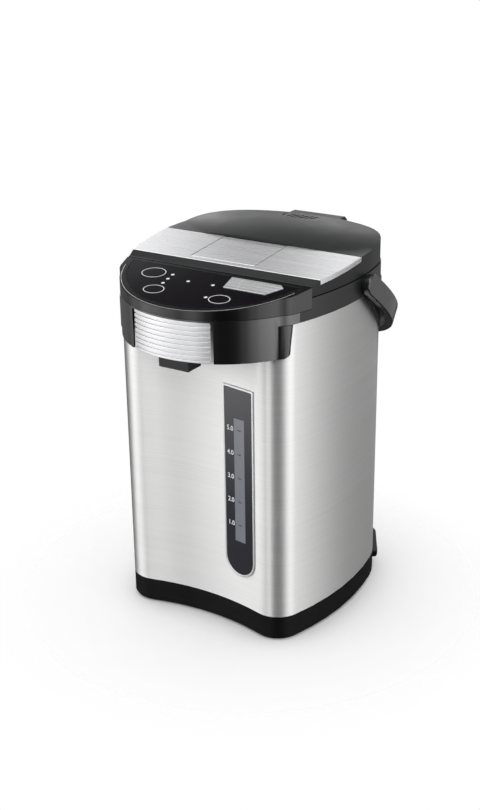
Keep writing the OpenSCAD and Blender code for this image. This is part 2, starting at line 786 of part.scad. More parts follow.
// Hood of the power inlet at the lower rear right: narrow above, round below, open to the rear
module inlet_frame() {
    translate([inlet_base[0], inlet_base[1], inlet_z]) rotate([0, 0, inlet_angle])
        rotate([90, 0, 90]) children();
}
module inlet_housing() {
    hood_r = 11.5;
    hood_out = 6.5;
    hood_in = 14;
    tip_h = 23;
    tip = [[-3.5, tip_h], [3.5, tip_h], [hood_r*0.9, 4.6], [-hood_r*0.9, 4.6]];
    color("#141415") inlet_frame() difference() {
        union() {
            translate([0, 0, -hood_in]) cylinder(r = inlet_r, h = hood_in + hood_out, $fn = 48);
            translate([0, 0, gap/2]) cylinder(r = hood_r, h = hood_out - gap/2, $fn = 48);
            translate([0, 0, gap/2]) linear_extrude(hood_out - gap/2) polygon(tip);
        }
        translate([0, 0, -hood_in + 3]) cylinder(r = inlet_r - 2, h = hood_in + hood_out, $fn = 48);
    }
}
module inlet_pins() {
    color("#c8a85a") inlet_frame() for (x = [-4.5, 4.5])
        translate([x, 0, -11]) cylinder(r = 1.6, h = 10, $fn = 24);
}

// Lid, cut square in front
module lid_block(inset, y0, y1, z0, z1) {
    intersection() {
        prism(plan(inset), z0, z1);
        slab(y0, y1, z0, z1);
    }
}
// Everything above the sloping top of the lid, moved down by drop
module above_band(drop) {
    translate([0, band_front_y, band_front_z - drop]) rotate([band_tilt, 0, 0]) slab(-40, 200, 0, 60);
}
module above_rear(drop) {
    translate([0, band_rear_y, band_rear_z - drop]) rotate([rear_tilt, 0, 0]) slab(-200, 200, 0, 60);
}
// Barrel-shaped crown of the dome
module crown(drop) {
    thick = 30;
    translate([0, dome_y, crest_z - drop - dome_side_r]) rotate([90, 0, 0]) rotate([0, 0, 75])
        rotate_extrude(angle = 30, $fn = 360) intersection() {
            translate([dome_side_r - dome_len_r, 0]) circle(r = dome_len_r, $fn = 180);
            translate([dome_side_r - thick, -57]) square([thick, 114]);
        }
}
module lid_shell() {
    front_step = 12;
    color("#3e403e") difference() {
        union() {
            difference() {
                lid_block(lid_plan, lid_front_y, rear_d + 1, part_z, rim_z + 30);
                above_rear(0);
                slab(-100, band_rear_y, band_front_z - 4, rim_z + 40);
            }
            difference() {
                lid_block(lid_plan, band_front_y - 0.5, band_rear_y + 1, part_z, rim_z + 30);
                above_band(band_t + gap/2);
            }
            // sloping front lip under the band's edge
            difference() {
                lid_block(lid_plan, lid_front_y, band_front_y, part_z, rim_z);
                translate([0, housing_front_y, part_z + 8.5]) rotate([22, 0, 0]) slab(-40, 60, 0, 60);
            }
            intersection() {
                crown(0);
                lid_block(lid_plan, band_rear_y, rear_d, part_z, crest_z + 5);
            }
        }
        // hollow
        intersection() {
            lid_block(lid_plan + wall_t, lid_front_y + wall_t, rear_d - 4, part_z - 1, rim_z + 30);
            union() {
                difference() {
                    slab(-100, band_rear_y + 2, part_z - 1, rim_z);
                    above_band(band_t + lid_top_t);
                    translate([0, housing_front_y, part_z + 5.5]) rotate([22, 0, 0]) slab(-40, 12, 0, 60);
                }
                difference() {
                    slab(band_rear_y, rear_d, part_z - 1, crest_z);
                    above_rear(lid_top_t);
                }
            }
        }
        // seats of the band's end skirts
        difference() {
            slab(band_front_y, band_rear_y, part_z, rim_z);
            prism(plan(lid_plan + 1.8), part_z, rim_z);
            translate([0, band_front_y, band_front_z - band_skirt - gap]) rotate([band_tilt, 0, 0]) slab(-40, 200, -40, 0);
        }
        // vent, latch and hinge openings
        translate([0, vent_y, 0]) prism(oval(vent_w/2 + gap, vent_l/2 + gap), part_z + 12, crest_z + 5);
        translate([-latch_w/2 - 0.5, -70, part_z + 1.7]) cube([latch_w + 1, 30, 5.6]);
        for (s = [-1, 1])
            translate([s*(hinge_len/2 - 2.5) - 4, rear_d - 10, part_z - 1]) cube([8, 30, lid_h - 6]);
        lever_pocket();
        translate([lever_x - 14, lever_axis_y, lever_axis_z]) rotate([0, 90, 0]) cylinder(r = 1, h = 28, $fn = 24);
    }
}
// Pocket in the lid for the release lever's hinge and its finger room
module lever_pocket() {
    back = band_rear_y - lever_axis_y - 0.1;
    translate([lever_x - 12, lever_axis_y - 8, lever_axis_z - 3.2]) cube([24, back + 8, 40]);
    translate([lever_x - lever_w/2 - gap, lever_axis_y - 1, lever_axis_z - 1.3]) cube([lever_w + 2*gap, back + 1, 40]);
}
module band_block(inset, y0, y1, drop0, drop1) {
    intersection() {
        difference() {
            lid_block(inset, y0, y1, part_z, rim_z + 20);
            above_band(drop0);
        }
        above_band(drop1);
    }
}
module lid_band() {
    color("#c4c7ca") difference() {
        band_block(lid_plan, band_front_y, band_rear_y - gap, 0, band_skirt);
        intersection() {
            prism(plan(lid_plan + 1.5), part_z, rim_z);
            difference() {
                slab(-100, 100, part_z, rim_z);
                above_band(band_t);
            }
        }
        // opening for the lever
        translate([lever_x - lever_w/2 - gap, lever_front_y - gap, part_z])
            cube([lever_w + 2*gap, 100, 60]);
    }
}
lever_rear_gap = 1.4;
lever_axis_y = band_rear_y - lever_rear_gap - 2.6;
lever_axis_z = band_rear_z - 2.9;
module lid_lever() {
    color("#c4c7ca") difference() {
        union() {
            intersection() {
                band_block(lid_plan, lever_front_y, band_rear_y - lever_rear_gap, 0, band_t);
                translate([lever_x - lever_w/2, -100, part_z]) cube([lever_w, 200, 60]);
            }
            // hinge eye under the rear edge
            translate([lever_x - 8, lever_axis_y, lever_axis_z]) rotate([0, 90, 0]) cylinder(r = 2.4, h = 16, $fn = 32);
        }
        translate([lever_x - 20, lever_axis_y, lever_axis_z]) rotate([0, 90, 0])
            cylinder(r = 1 + pin_gap, h = 40, $fn = 24);
    }
}
// Axle of the lever, held in the lid on both sides of the pocket
module lever_axle() {
    color("#9a9c9e") translate([lever_x - 14, lever_axis_y, lever_axis_z]) rotate([0, 90, 0])
        cylinder(r = 1, h = 28, $fn = 24);
}
module latch_slide() {
    color("#d9d6cf") {
        translate([-latch_w/2, lid_front_y, part_z + 2]) cube([latch_w, 10, 5]);
        translate([-6, lid_front_y + 9, part_z + 2]) cube([12, 26, 3]);
    }
}
module lid_base() {
    color("#2a2b2c") difference() {
        union() {
            lid_block(lid_plan + wall_t + gap, lid_front_y + wall_t + gap, rear_d - 5, part_z + 0.2, part_z + 1.6);
            translate([0, mouth_y, part_z - 8]) cylinder(r = mouth_r - 4, h = 8.4, $fn = 96);
        }
        translate([0, mouth_y, part_z - 6]) cylinder(r = mouth_r - 6.5, h = 20, $fn = 96);
        translate([0, mouth_y, 0]) cylinder(r = 7.5, h = 500, $fn = 32);
        for (s = [-1, 1])
            translate([s*(hinge_len/2 - 2.5) - 4, rear_d - 10, part_z - 1]) cube([8, 30, 20]);
    }
    // post of the steam pipe and screw pillars
    color("#2a2b2c") for (p = lid_screw_points)
        translate([p[0], p[1], part_z - 6]) cylinder(r = 4, h = 18, $fn = 24);
}
lid_screw_points = [[52, -10], [-52, -10], [52, 82], [-52, 82]];
module lid_screws() {
    color("#8a8c8e") for (p = lid_screw_points)
        translate([p[0], p[1], part_z - 8 - 2]) cylinder(r = 3, h = 2, $fn = 24);
}
module inner_lid() {
    color("#a7aaad") difference() {
        translate([0, mouth_y, part_z - 12]) cylinder(r = mouth_r - 5 - pin_gap, h = 1.5, $fn = 96);
        translate([0, mouth_y, 0]) cylinder(r = 7.5, h = 500, $fn = 32);
        for (p = lid_screw_points)
            translate([p[0], p[1], part_z - 14]) cylinder(r = 3.2, h = 5, $fn = 24);
    }
    color("#a7aaad") difference() {
        translate([0, mouth_y, part_z - 10.5]) cylinder(r = 30, h = 2.5, $fn = 64);
        translate([0, mouth_y, part_z - 12]) cylinder(r = 10, h = 6, $fn = 48);
    }
}
module lid_gasket() {
    color("#c9c4b8") difference() {
        translate([0, mouth_y, part_z - 13]) cylinder(r = mouth_r - 1, h = 4.5, $fn = 96);
        translate([0, mouth_y, part_z - 14]) cylinder(r = mouth_r - 5, h = 8, $fn = 96);
    }
}
module steam_pipe() {
    pipe_r = 7.4;
    color("#d8d4c8") difference() {
        union() {
            translate([0, mouth_y, part_z - 14]) cylinder(r = pipe_r, h = 20, $fn = 32);
            translate([0, mouth_y, part_z + 6]) sphere(r = pipe_r, $fn = 32);
            translate([0, mouth_y, part_z + 6]) rotate([-90, 0, 0]) cylinder(r = pipe_r, h = vent_y - mouth_y, $fn = 32);
        }
        translate([0, mouth_y, part_z - 12]) cylinder(r = 6, h = 18, $fn = 32);
        translate([0, mouth_y, part_z - 15]) cylinder(r = 3, h = 8, $fn = 32);
        translate([0, mouth_y, part_z + 6]) rotate([-90, 0, 0]) cylinder(r = 5.5, h = 200, $fn = 32);
        translate([0, vent_y - 10, part_z + 6]) cylinder(r = 5, h = 20, $fn = 32);
    }
}
module steam_valve_ball() {
    ball_r = 4;
    color("#b8bbbd") translate([0, mouth_y, part_z - 12 + ball_r + 0.2]) sphere(r = ball_r, $fn = 32);
}
module vent_cap() {
    slots = 6;
    top_z = rim_z + 4.5;
    color("#2f3130") difference() {
        translate([0, vent_y, 0]) prism(oval(vent_w/2, vent_l/2), part_z + 13.5, top_z);
        translate([0, vent_y, 0]) prism(oval(vent_w/2 - 2, vent_l/2 - 2), part_z + 12, top_z - 2);
        // slanted steam slots
        for (i = [0 : slots - 1])
            translate([(i - (slots - 1)/2)*5.6, vent_y, top_z - 3]) rotate([0, 0, -20])
                translate([-1.2, -8, 0]) cube([2.4, 16, 6]);
    }
}
// Cover over the hinge at the rear of the lid
module hinge_cover() {
    top = rim_z - 0.3;
    back = hinge_y + 9;
    outer = [[rear_d - 5, hinge_z + 3.5], [rear_d - 5, top], [back - 5, top], [back, top - 4],
        [back, hinge_z - 3], [back - 2, hinge_z - 3], [back - 2, hinge_z + 3.5]];
    color("#3a3c3a") difference() {
        union() {
            translate([-tab_w/2, 0, 0]) rotate([90, 0, 90]) linear_extrude(tab_w) polygon(outer);
            // knuckle between the lugs
            translate([-hinge_len/2 + 6, hinge_y, hinge_z]) rotate([0, 90, 0]) cylinder(r = 5, h = hinge_len - 12, $fn = 32);
            translate([-hinge_len/2 + 6, rear_d - 3.5, hinge_z - 3]) cube([hinge_len - 12, 10, 8]);
        }
        translate([-tab_w, hinge_y, hinge_z]) rotate([0, 90, 0]) cylinder(r = hinge_r + pin_gap, h = 2*tab_w, $fn = 32);
        // room for the lugs, open at the back below the pin
        for (s = [-1, 1]) {
            translate([s*(hinge_len/2 - 2.5) - 3, rear_d - 6, hinge_z - 12]) cube([6, 20, 18.3]);
            translate([s*(hinge_len/2 - 2.5) - 3, rear_d, hinge_z - 12]) cube([6, 30, 13]);
        }
        // the lid's own wall
        lid_block(lid_plan, 50, rear_d + 1, part_z, rim_z + 30);
    }
}
module hinge_pin() {
    color("#9a9c9e") translate([-hinge_len/2, hinge_y, hinge_z]) rotate([0, 90, 0])
        cylinder(r = hinge_r, h = hinge_len, $fn = 32);
}

// Handle in its own plane: arms start at y = 0 and run back to the grip
bail_power = 2.6;
function bail_line(a, b, n = 16) = [for (i = [0 : 2*n])
    let (t = 180*i/(2*n), c = cos(t), s = sin(t))
    [a*sign(c)*pow(abs(c), 2/bail_power), b*pow(s, 2/bail_power)]];
module bail_area(inset) {
    arm = pivot_boss_r - 1;
    polygon(concat([[handle_half_w - inset, -arm]], bail_line(handle_half_w - inset, handle_reach - inset),
        [[-(handle_half_w - inset), -arm]]));
}
module handle_bail() {
    web = 3.5;
    channel = strap_w - 7;
    color("#262728") translate([0, pivot_y, pivot_z]) rotate([-stow_angle, 0, 0]) difference() {
        intersection() {
            translate([0, 0, -strap_w/2]) linear_extrude(strap_w) difference() {
                bail_area(0);
                translate([0, -1]) bail_area(strap_t);
            }
            // round ends at the pivots
            union() {
                rotate([0, 90, 0]) cylinder(r = strap_w/2, h = 400, center = true, $fn = 48);
                translate([-200, 0, -50]) cube([400, 400, 100]);
            }
        }
        // channel on the inner side of the grip
        translate([0, 0, -channel/2]) linear_extrude(channel) difference() {
            intersection() {
                bail_area(web);
                translate([-150, 30]) square([300, 200]);
            }
            translate([0, -1]) bail_area(strap_t + 1);
        }
        rotate([0, 90, 0]) cylinder(r = pivot_r + pin_gap, h = 2*handle_half_w - 6, center = true, $fn = 48);
    }
}
module handle_pins() {
    color("#3a3b3c") for (s = [-1, 1])
        translate([s*(body_w/2 - 4), pivot_y, pivot_z]) rotate([0, s*90, 0])
            cylinder(r = pivot_r, h = handle_half_w - 3.5 - body_w/2 + 4, $fn = 48);
}

base_shell();
bottom_cover();
rubber_feet();
bottom_screws();
outer_shell();
upper_housing();
panel_frame();
head_cover();
ribbed_cover();
spout_nozzle();
outlet_hose();
control_panel();
panel_board();
indicator_lights();
dispense_plate();
reboil_button();
temperature_button();
unlock_button();
gauge_frame();
gauge_panel();
gauge_window();
sight_tube();
water_container();
container_clamps();
insulation_sleeve();
heater_plate();
heater_clamp();
thermostats();
pump_housing();
pump_cover();
impeller();
magnet_disc();
pump_motor();
inlet_hose();
delivery_hose();
power_board();
board_screws();
inlet_housing();
inlet_pins();
lid_shell();
lid_band();
lid_lever();
lever_axle();
latch_slide();
lid_base();
lid_screws();
inner_lid();
lid_gasket();
steam_pipe();
steam_valve_ball();
vent_cap();
hinge_cover();
hinge_pin();
handle_bail();
handle_pins();
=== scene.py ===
"""Looks of an electric thermo pot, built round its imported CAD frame. Lengths are in metres."""
import bmesh
import bpy
import json
import math
from mathutils import Matrix, Vector

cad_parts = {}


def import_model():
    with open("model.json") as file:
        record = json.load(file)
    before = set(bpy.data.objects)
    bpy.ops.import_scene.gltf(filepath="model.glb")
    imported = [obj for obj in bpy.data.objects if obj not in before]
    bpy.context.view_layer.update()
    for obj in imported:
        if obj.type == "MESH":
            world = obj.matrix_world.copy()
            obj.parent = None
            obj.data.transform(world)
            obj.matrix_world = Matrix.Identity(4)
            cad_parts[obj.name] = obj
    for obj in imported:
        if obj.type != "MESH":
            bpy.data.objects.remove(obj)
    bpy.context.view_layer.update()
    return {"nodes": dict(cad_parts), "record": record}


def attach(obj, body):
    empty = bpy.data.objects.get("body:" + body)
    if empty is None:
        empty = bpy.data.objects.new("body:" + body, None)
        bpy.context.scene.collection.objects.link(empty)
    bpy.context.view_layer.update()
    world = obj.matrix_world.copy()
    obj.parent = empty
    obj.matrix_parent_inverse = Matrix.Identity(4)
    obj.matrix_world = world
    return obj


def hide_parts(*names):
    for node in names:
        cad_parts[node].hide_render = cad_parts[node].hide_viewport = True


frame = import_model()
NODES = frame["nodes"]
SLOT_OF = {part["node"]: part["material_slot"] for part in frame["record"]["subparts"]}
BODY_OF = {node: body for body, nodes in frame["record"]["behaviour"]["bodies"].items() for node in nodes}

# ---------- places on the CAD ----------
CREST_Y, CREST_Z = -0.070, 0.3775    # a point on the sloping panel
PANEL_TILT = math.radians(8.5)
FRONT_D, FRONT_R = 0.085, 0.260      # the hollow front wall: distance from the middle, and radius
GAUGE_X = 0.045                      # how far the gauge sits to the right of the middle
ONE_LITRE_Z, LITRE_H = 0.1228, 0.02665   # height of the mark for one litre, and of every litre more
FRAME_ARC_Y = -0.039                 # centre of the round front edge of the panel frame

WORLD = Matrix.Identity(4)
ON_PANEL = Matrix.Translation((0, CREST_Y, CREST_Z)) @ Matrix.Rotation(PANEL_TILT, 4, "X")
TO_ARC = Matrix.Translation((0, -(FRONT_D + FRONT_R), 0))
ON_GAUGE = TO_ARC @ Matrix.Rotation(-math.asin(GAUGE_X / FRONT_R), 4, "Z") @ TO_ARC.inverted()


def span(node, axes):
    """The low and the high corner of a CAD node's box, measured along the given axes."""
    into = axes.inverted()
    points = [into @ vertex.co for vertex in NODES[node].data.vertices]
    return [Vector([pick(point[k] for point in points) for k in range(3)]) for pick in (min, max)]


# ---------- materials ----------
def add_node(tree, kind, inputs=None, **settings):
    """A new shader node with its settings and the values of its inputs."""
    made = tree.nodes.new(kind)
    for name, value in settings.items():
        setattr(made, name, value)
    for name, value in (inputs or {}).items():
        made.inputs[name].default_value = value
    return made


class Shader:
    """A principled material with helpers for the nodes that feed it."""

    def __init__(self, name, color, rough, metal=0.0, coat=0.0, coat_rough=0.05, spec=0.5):
        self.mat = bpy.data.materials.new(name)
        self.mat.use_nodes = True
        self.tree = self.mat.node_tree
        self.bsdf = self.tree.nodes["Principled BSDF"]
        self.set("Base Color", (*color, 1))
        self.set("Roughness", rough)
        self.set("Metallic", metal)
        self.set("Coat Weight", coat)
        self.set("Coat Roughness", coat_rough)
        self.set("Specular IOR Level", spec)

    def set(self, socket, value):
        self.bsdf.inputs[socket].default_value = value

    def feed(self, socket, output):
        self.link(output, self.bsdf.inputs[socket])

    def node(self, kind, inputs=None, **settings):
        return add_node(self.tree, kind, inputs, **settings)

    def link(self, output, target):
        self.tree.links.new(output, target)

    def noise(self, scale, stretch=(1, 1, 1), detail=3.0, rough=0.5):
        """Noise in the object's own coordinates, stretched along the axes."""
        coord = self.node("ShaderNodeTexCoord")
        mapping = self.node("ShaderNodeMapping", {"Scale": stretch})
        texture = self.node("ShaderNodeTexNoise", {"Scale": scale, "Detail": detail, "Roughness": rough})
        self.link(coord.outputs["Object"], mapping.inputs["Vector"])
        self.link(mapping.outputs["Vector"], texture.inputs["Vector"])
        return texture.outputs["Fac"]

    def remap(self, value, low, high, from_low=0.3, from_high=0.7):
        """The value spread from its usual span to low and high; noise mostly lies from 0.3 to 0.7."""
        spread = self.node("ShaderNodeMapRange", {"From Min": from_low, "From Max": from_high,
                                                  "To Min": low, "To Max": high})
        self.link(value, spread.inputs["Value"])
        return spread.outputs["Result"]

    def tint(self, value, dark, light):
        mix = self.node("ShaderNodeMix", {"A": (*dark, 1), "B": (*light, 1)}, data_type="RGBA")
        self.link(value, mix.inputs["Factor"])
        self.feed("Base Color", mix.outputs["Result"])

    def bump(self, value, strength, distance):
        relief = self.node("ShaderNodeBump", {"Strength": strength, "Distance": distance})
        self.link(value, relief.inputs["Height"])
        self.feed("Normal", relief.outputs["Normal"])

    def rough_from(self, value, low, high):
        self.feed("Roughness", self.remap(value, low, high))


def brushed(name, color, rough, grain, aniso=0.0, depth=0.00002, metal=1.0, along_x=False):
    """Metal or silver paint. grain stretches the noise that draws its lines and depth is their height. The
    highlight is drawn out by aniso, across brush strokes that run round the Z axis or along X."""
    s = Shader(name, color, rough, metal)
    lines = s.noise(scale=1.0, stretch=grain, detail=4.0, rough=0.65)
    s.rough_from(lines, rough * 0.85, rough * 1.18)
    s.tint(s.remap(lines, 0, 1), [c * 0.93 for c in color], [min(1, c * 1.05) for c in color])
    s.bump(lines, strength=0.35, distance=depth)
    s.set("Anisotropic", aniso)
    if aniso:
        if along_x:
            tangent = s.node("ShaderNodeVectorTransform", {"Vector": (1, 0, 0)}, convert_from="OBJECT",
                             convert_to="WORLD")
        else:
            tangent = s.node("ShaderNodeTangent", direction_type="RADIAL", axis="Z")
        s.feed("Tangent", tangent.outputs[0])
        s.set("Anisotropic Rotation", 0.25)
    return s.mat


def plastic(name, color, rough, grain=0.0, coat=0.0, spec=0.5, coat_rough=0.05):
    """Moulded plastic; grain is the depth of its fine texture."""
    s = Shader(name, color, rough, coat=coat, coat_rough=coat_rough, spec=spec)
    s.rough_from(s.noise(scale=25.0), rough * 0.9, rough * 1.12)
    if grain:
        s.bump(s.noise(scale=1400.0, detail=2.0), strength=0.5, distance=grain)
    return s.mat


def glass(name, color, rough, alpha):
    """Clear plastic that lets part of the light through."""
    s = Shader(name, color, rough, coat=0.6)
    s.set("Alpha", alpha)
    s.rough_from(s.noise(scale=40.0), rough * 0.9, rough * 1.1)
    return s.mat


def light_dot(name, color, strength):
    """A small light guide that glows a little."""
    s = Shader(name, color, 0.35, coat=0.4)
    s.set("Emission Color", (*color, 1))
    s.set("Emission Strength", strength)
    s.rough_from(s.noise(scale=300.0), 0.3, 0.4)
    return s.mat


STEEL = brushed("steel", (0.80, 0.80, 0.795), 0.42, grain=(5, 5, 2400), aniso=0.90, depth=0.000004)
SILVER = brushed("silver_plastic", (0.80, 0.80, 0.81), 0.36, grain=(6, 1300, 1300), depth=0.000006,
                 metal=0.85)
BRUSHED_SILVER = brushed("silver_brushed", (0.81, 0.81, 0.825), 0.28, grain=(6, 1300, 1300), aniso=0.9,
                         depth=0.000006, along_x=True)
STEEL_PLAIN = brushed("steel_plain", (0.62, 0.62, 0.62), 0.33, grain=(60, 60, 60))
CONTAINER = brushed("container_steel", (0.55, 0.55, 0.55), 0.4, grain=(8, 8, 900))
BRASS = brushed("brass", (0.70, 0.52, 0.22), 0.25, grain=(60, 60, 60))
GLOSS_BLACK = plastic("gloss_black", (0.0030, 0.0030, 0.0033), 0.20, coat=1.0, coat_rough=0.09)
PANEL_BLACK = plastic("panel_black", (0.0040, 0.0029, 0.0055), 0.10, coat=0.1, spec=0.35)
SATIN = plastic("satin_dark", (0.010, 0.0108, 0.0104), 0.34, grain=0.000005, spec=0.42)
DOME = plastic("dome_dark", (0.017, 0.0183, 0.0176), 0.36, grain=0.000006, spec=0.2)
FRAME_BLACK = plastic("frame_black", (0.0035, 0.0036, 0.0037), 0.16, coat=0.5, coat_rough=0.06, spec=0.2)
BASE_BLACK = plastic("base_black", (0.0030, 0.0031, 0.0033), 0.24, grain=0.000003, spec=0.4)
HANDLE = plastic("handle_black", (0.008, 0.008, 0.0084), 0.24, grain=0.000003, coat=1.0, coat_rough=0.12)
GAUGE_GREY = plastic("gauge_grey", (0.028, 0.028, 0.034), 0.14, coat=0.4)
RUBBER = plastic("rubber", (0.012, 0.012, 0.012), 0.7, grain=0.00001)
NATURAL = plastic("natural_plastic", (0.68, 0.65, 0.58), 0.45, grain=0.000004)
SILICONE = plastic("silicone", (0.60, 0.58, 0.54), 0.35)
MICA = plastic("mica", (0.50, 0.42, 0.31), 0.5, grain=0.00002)
FELT = plastic("insulation", (0.66, 0.64, 0.58), 0.9, grain=0.0001)
BOARD = plastic("board_green", (0.02, 0.11, 0.045), 0.35)
MAGNET = plastic("magnet", (0.06, 0.06, 0.065), 0.5, grain=0.00001)
WHITE_PRINT = plastic("white_print", (0.88, 0.88, 0.90), 0.45)
# dark print for the gauge's ticks, also used as painted shade in the gaps beside the lid's lever
DARK_PRINT_AND_SHADE = plastic("dark_print_and_shade", (0.03, 0.03, 0.035), 0.45)
CLEAR = glass("clear", (0.30, 0.31, 0.35), 0.10, alpha=0.72)
TUBE = glass("clear_tube", (0.75, 0.78, 0.8), 0.08, alpha=0.35)
PALE_LIGHT = light_dot("pale_light", (0.80, 0.80, 0.82), strength=0.05)

# The finish of every material slot of the CAD
FINISH = {
    "steel": STEEL, "silver_plastic": SILVER, "gloss_black": GLOSS_BLACK, "panel_black": PANEL_BLACK,
    "satin_dark": SATIN, "dome_dark": DOME, "base_black": BASE_BLACK, "handle_black": HANDLE,
    "gauge_grey": GAUGE_GREY, "clear": CLEAR, "rubber": RUBBER, "natural_plastic": NATURAL,
    "silicone": SILICONE, "steel_plain": STEEL_PLAIN, "container_steel": CONTAINER, "mica": MICA,
    "insulation": FELT, "board_green": BOARD, "magnet": MAGNET, "brass": BRASS,
}


def paint(obj, mat):
    obj.data.materials.clear()
    obj.data.materials.append(mat)


# ---------- meshes and objects ----------
WELD = 0.000002                      # vertices closer than this are joined
FLAT = math.radians(0.4)             # faces that meet at less than this become one
CREASE = math.radians(32)            # edges that turn more than this stay sharp, or are rounded


def smooth(mesh):
    mesh.shade_smooth()
    mesh.set_sharp_from_angle(angle=CREASE)


def add_object(name, mesh, mat):
    obj = bpy.data.objects.new(name, mesh)
    bpy.context.scene.collection.objects.link(obj)
    paint(obj, mat)
    return obj


def add_piece(name, mesh, mat, body):
    """A piece that only the scene has, moving with a body of the CAD."""
    obj = add_object(name, mesh, mat)
    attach(obj, body)


def fine_copy(node, rounding, steps, mat):
    """A copy of a CAD node with rounded edges, shown in its place."""
    bm = bmesh.new()
    bm.from_mesh(NODES[node].data)
    bmesh.ops.remove_doubles(bm, verts=bm.verts, dist=WELD)
    bmesh.ops.dissolve_limit(bm, angle_limit=FLAT, verts=bm.verts, edges=bm.edges,
                             use_dissolve_boundaries=False)
    mesh = bpy.data.meshes.new("look_" + node)
    bm.to_mesh(mesh)
    bm.free()
    for name in ("custom_normal", "sharp_edge", "sharp_face"):
        if mesh.attributes.get(name):
            mesh.attributes.remove(mesh.attributes[name])
    smooth(mesh)
    obj = add_object("look_" + node, mesh, mat)
    if rounding:
        bevel = obj.modifiers.new("rounded", "BEVEL")
        bevel.width = rounding
        bevel.segments = steps
        bevel.limit_method = "ANGLE"
        bevel.angle_limit = CREASE
        bevel.harden_normals = True
        bevel.miter_outer = "MITER_ARC"
    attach(obj, BODY_OF[node])
    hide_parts(node)


CORNERS = ((0, 0), (1, 0), (1, 1), (0, 1))      # corners of a line's cross-section: across it and up


def add_line(name, rings, mat, body, axes=WORLD, closed=False):
    """A thin line through rings of four corners. It is closed when its last ring joins its first."""
    bm = bmesh.new()
    rings = [[bm.verts.new(corner) for corner in ring] for ring in rings]
    for ring, after in zip(rings, rings[1:] + rings[:1] if closed else rings[1:]):
        for k in range(4):
            m = (k + 1) % 4
            bm.faces.new((ring[k], after[k], after[m], ring[m]))
    if not closed:
        bm.faces.new(rings[0])
        bm.faces.new(rings[-1])
    bmesh.ops.recalc_face_normals(bm, faces=bm.faces)
    mesh = bpy.data.meshes.new(name)
    bm.to_mesh(mesh)
    bm.free()
    mesh.transform(axes)
    smooth(mesh)
    add_piece(name, mesh, mat, body)


# ---------- the pieces of the CAD ----------
# Rounding of the edges and its steps, for each node that is shown as a fine copy. The outer shell has none.
ROUNDED = {
    "base_shell": (0.0008, 3), "upper_housing": (0.0006, 3), "panel_frame": (0.0012, 4),
    "head_cover": (0.0006, 3), "ribbed_cover": (0.0004, 2), "spout_nozzle": (0.0008, 3),
    "control_panel": (0.0003, 2), "dispense_plate": (0.0005, 3), "reboil_button": (0.0005, 3),
    "temperature_button": (0.0005, 3), "unlock_button": (0.0005, 3), "gauge_frame": (0.0005, 3),
    "gauge_panel": (0.0003, 2), "inlet_housing": (0.0008, 3), "lid_shell": (0.0007, 3),
    "lid_band": (0.0005, 3), "lid_lever": (0.0004, 3), "vent_cap": (0.0004, 2),
    "hinge_cover": (0.0012, 3), "handle_bail": (0.0014, 3), "outer_shell": (0.0, 0),
}
# Nodes with another finish than their slot's
OTHER_FINISH = {
    "lid_band": BRUSHED_SILVER, "lid_lever": BRUSHED_SILVER, "dispense_plate": BRUSHED_SILVER,
    "panel_frame": FRAME_BLACK, "sight_tube": TUBE, "indicator_lights": PALE_LIGHT,
}
for node in NODES:
    if node not in ROUNDED:
        paint(NODES[node], OTHER_FINISH.get(node, FINISH[SLOT_OF[node]]))
for node, (rounding, steps) in ROUNDED.items():
    fine_copy(node, rounding, steps, OTHER_FINISH.get(node, FINISH[SLOT_OF[node]]))


# ---------- lines and numbers on the pieces ----------
PROUD = 0.00004                      # height of a line over its face
# Outline of a button: from the button's edge, its width, and its lower and upper side over the panel
BUTTON_INSET, OUTLINE_W, OUTLINE_LOW, OUTLINE_HIGH, OUTLINE_STEPS = 0.0012, 0.00065, 0.0002, 0.00025, 96
# Painted highlight on the panel frame, a pale line standing in for the light on its rounded edge: from the
# frame's edge, its width, how deep it sits, and its two ends
HIGHLIGHT_INSET, HIGHLIGHT_W, HIGHLIGHT_SUNK, HIGHLIGHT_STEPS = 0.0013, 0.0006, 0.0001, 90
HIGHLIGHT_FROM, HIGHLIGHT_TO = math.radians(199), math.radians(341)
# Painted shade in the gaps beside the lever, drawn as dark lines: from the lever's sides, their width, how
# deep they sit, and how far they run on
SHADE_GAP, SHADE_W, SHADE_SUNK, SHADE_REAR = 0.0003, 0.0005, 0.0002, 0.0002
# Bent line on the dispense plate: its width, and its corners as seen from the plate's rear left corner
BEND_W, BEND = 0.00044, ((0.0142, -0.0004), (0.0148, -0.0110), (0.0200, -0.0222))
# Litre numbers: their size, thickness and boldness, from the window's edge and over the gauge's face
NUMBER_SIZE, NUMBER_DEPTH, NUMBER_BOLD, NUMBER_GAP, NUMBER_PROUD = 0.0072, 0.00004, 0.0001, 0.0051, 0.00006
TICK_W, TICK_H, TICK_SUNK = 0.0044, 0.0012, 0.0001   # the tick is centred on the gauge's face


def add_number(name, text, size, centre, mat, body, axes):
    """A plain number, as a thin mesh standing upright and facing the front of the axes."""
    curve = bpy.data.curves.new(name, "FONT")
    curve.body = text
    curve.size = size
    curve.extrude = NUMBER_DEPTH
    curve.offset = NUMBER_BOLD
    curve.align_x = "CENTER"
    curve.align_y = "CENTER"
    temp = bpy.data.objects.new(name + "_curve", curve)
    bpy.context.scene.collection.objects.link(temp)
    bpy.context.view_layer.update()
    mesh = bpy.data.meshes.new_from_object(temp)
    bpy.data.objects.remove(temp)
    mesh.name = name
    mesh.transform(axes @ Matrix.Translation(centre) @ Matrix.Rotation(math.radians(90), 4, "X"))
    add_piece(name, mesh, mat, body)


